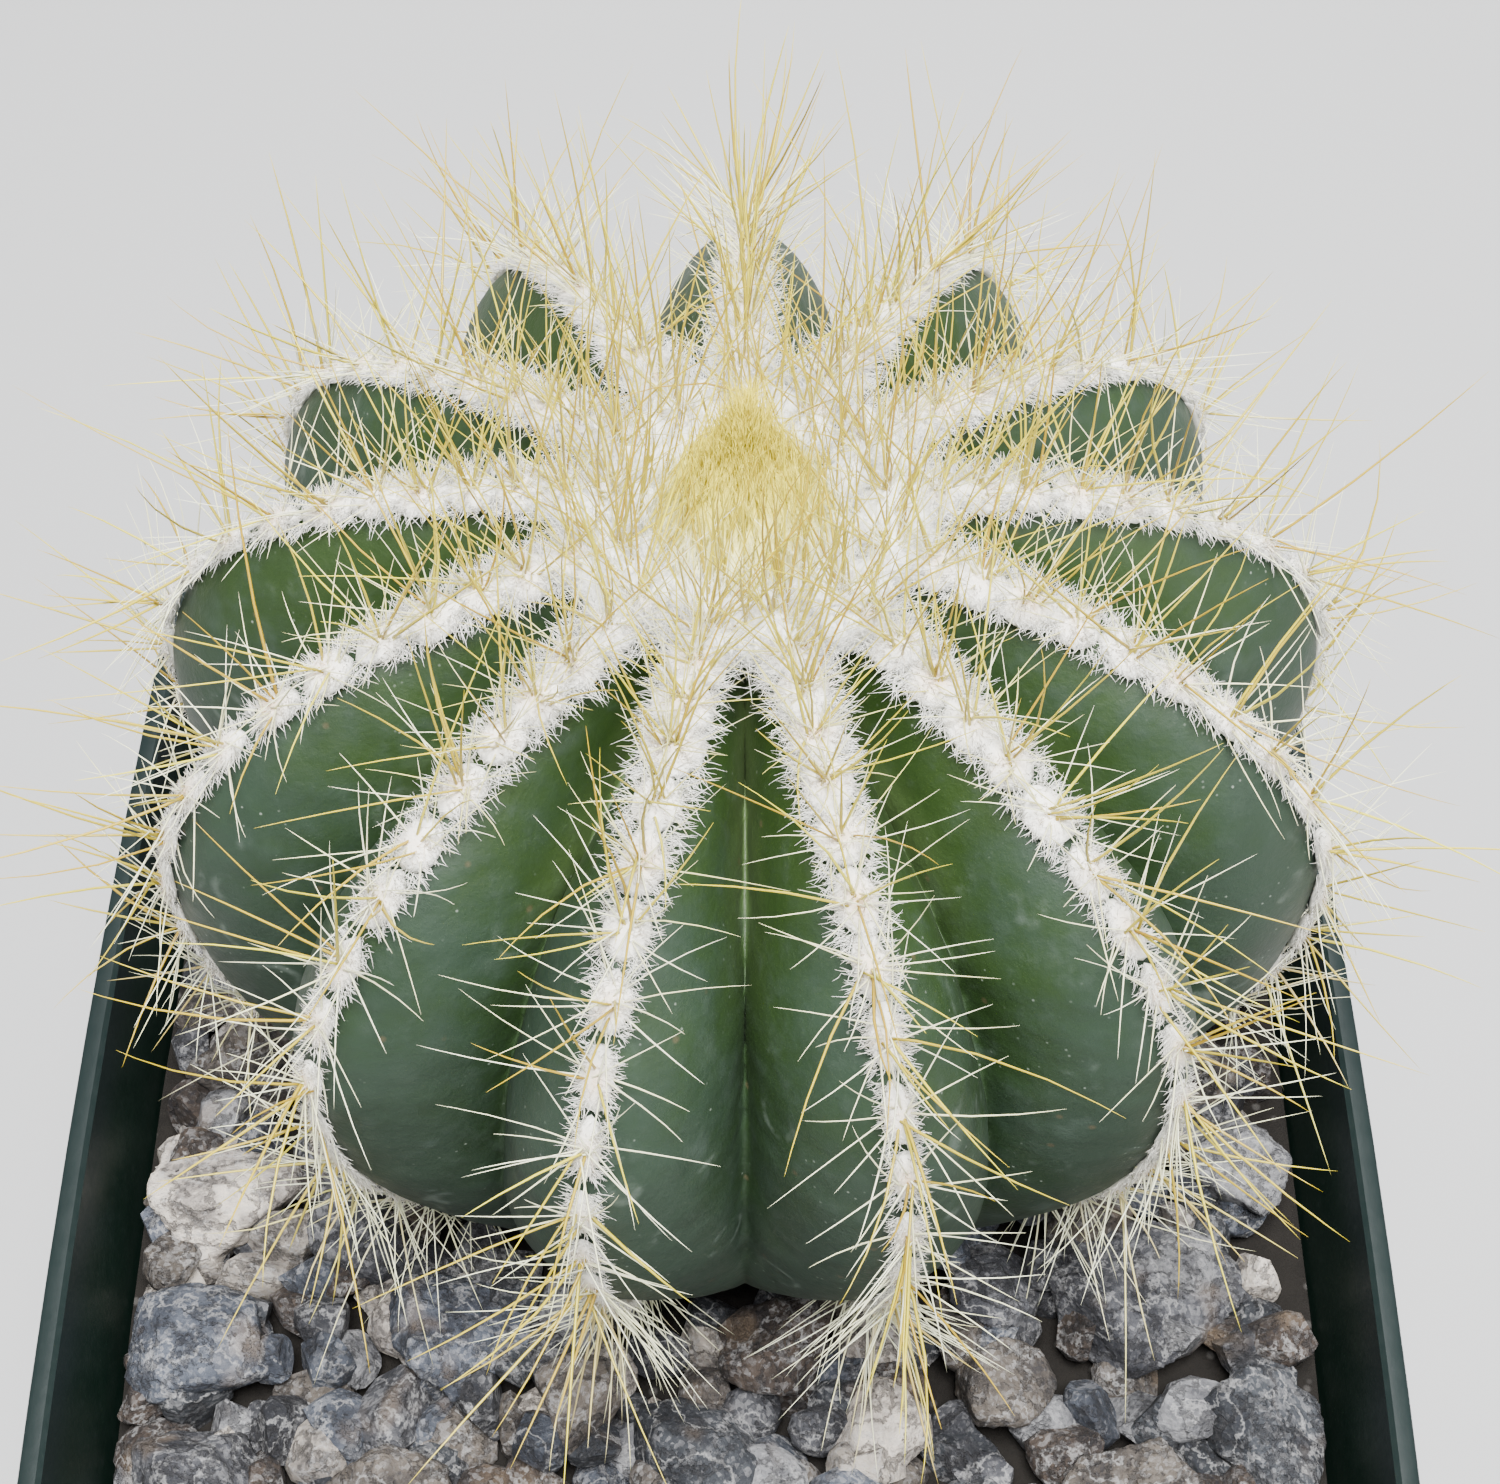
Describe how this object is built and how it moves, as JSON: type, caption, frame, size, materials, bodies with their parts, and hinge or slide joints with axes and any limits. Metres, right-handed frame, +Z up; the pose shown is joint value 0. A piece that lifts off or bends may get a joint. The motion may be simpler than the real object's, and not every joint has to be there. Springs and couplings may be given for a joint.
{
  "type": "potted round cactus",
  "caption": "Flattened globe cactus with wool-crested ribs and fine yellow spines, in a tapered square pot dressed with crushed stone.",
  "frame": {"origin": "centre of the flat underside of the pot", "axes": "+Z up out of the pot, -Y towards the front of the plant, +X to the right seen from the front"},
  "size_m": [0.1152, 0.1235, 0.158],
  "materials": {
    "pot_plastic": "satin",
    "potting_soil": "matte",
    "cactus_skin": "satin",
    "wool_and_spines": "matte",
    "granite": "matte"
  },
  "bodies": {
    "root": {"pot": "pot_plastic", "soil": "potting_soil", "cactus_body": "cactus_skin", "areole_row_01": "wool_and_spines", "areole_row_02": "wool_and_spines", "areole_row_03": "wool_and_spines", "areole_row_04": "wool_and_spines", "areole_row_05": "wool_and_spines", "areole_row_06": "wool_and_spines", "areole_row_07": "wool_and_spines", "areole_row_08": "wool_and_spines", "areole_row_09": "wool_and_spines", "areole_row_10": "wool_and_spines", "areole_row_11": "wool_and_spines", "areole_row_12": "wool_and_spines", "areole_row_13": "wool_and_spines", "crown_tuft": "wool_and_spines", "stone_01": "granite", "stone_02": "granite", "stone_03": "granite", "stone_04": "granite", "stone_05": "granite", "stone_06": "granite", "stone_07": "granite", "stone_08": "granite", "stone_09": "granite", "stone_10": "granite", "stone_11": "granite", "stone_12": "granite", "stone_13": "granite", "stone_14": "granite", "stone_15": "granite", "stone_16": "granite", "stone_17": "granite", "stone_18": "granite", "stone_19": "granite", "stone_20": "granite", "stone_21": "granite", "stone_22": "granite", "stone_23": "granite", "stone_24": "granite", "stone_25": "granite", "stone_26": "granite", "stone_27": "granite", "stone_28": "granite", "stone_29": "granite", "stone_30": "granite", "stone_31": "granite", "stone_32": "granite", "stone_33": "granite", "stone_34": "granite", "stone_35": "granite", "stone_36": "granite", "stone_37": "granite", "stone_38": "granite", "stone_39": "granite", "stone_40": "granite", "stone_41": "granite", "stone_42": "granite"}
  },
  "joints": []
}
